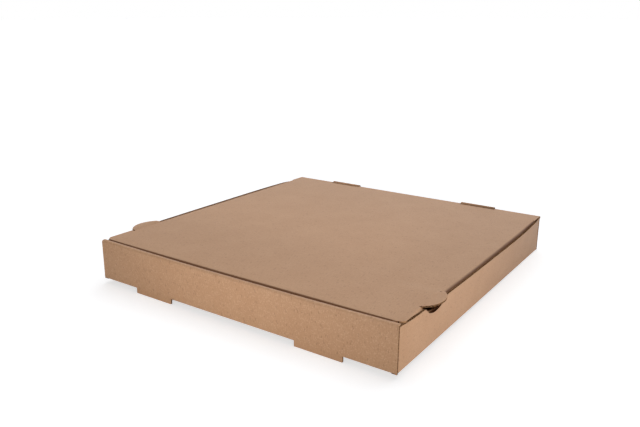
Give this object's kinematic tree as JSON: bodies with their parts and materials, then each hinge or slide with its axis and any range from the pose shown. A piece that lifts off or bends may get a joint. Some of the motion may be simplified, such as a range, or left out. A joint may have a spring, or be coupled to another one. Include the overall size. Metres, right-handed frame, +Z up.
{
  "type": "pizza box",
  "caption": "Closed corrugated board pizza box with a double front wall on low feet, thumb tabs over notched side walls, and a hinged lid.",
  "frame": {"origin": "on the ground below the middle of the closed box, midway between the front wall's and back wall's outer faces at the floor crease, at the height of the front feet's lower edges; the front wall's crest bows out by about 3 mm at mid length, so the middle of the bounding box lies 1.5 mm in front of it", "axes": "+X along the front wall, +Y from the front wall to the hinge, +Z up, square to the floor panel"},
  "size_m": [0.383, 0.373, 0.0503],
  "materials": {
    "kraft_board": "matt uncoated brown kraft liner"
  },
  "bodies": {
    "tray": {"tray": "kraft_board"},
    "lid": {"lid": "kraft_board"}
  },
  "joints": [
    {"name": "lid_hinge", "type": "hinge", "parent": "tray", "child": "lid", "pos_m": [0, 0.1834, 0.0472], "axis": [-1, 0, 0], "range_deg": [0, 180]}
  ]
}
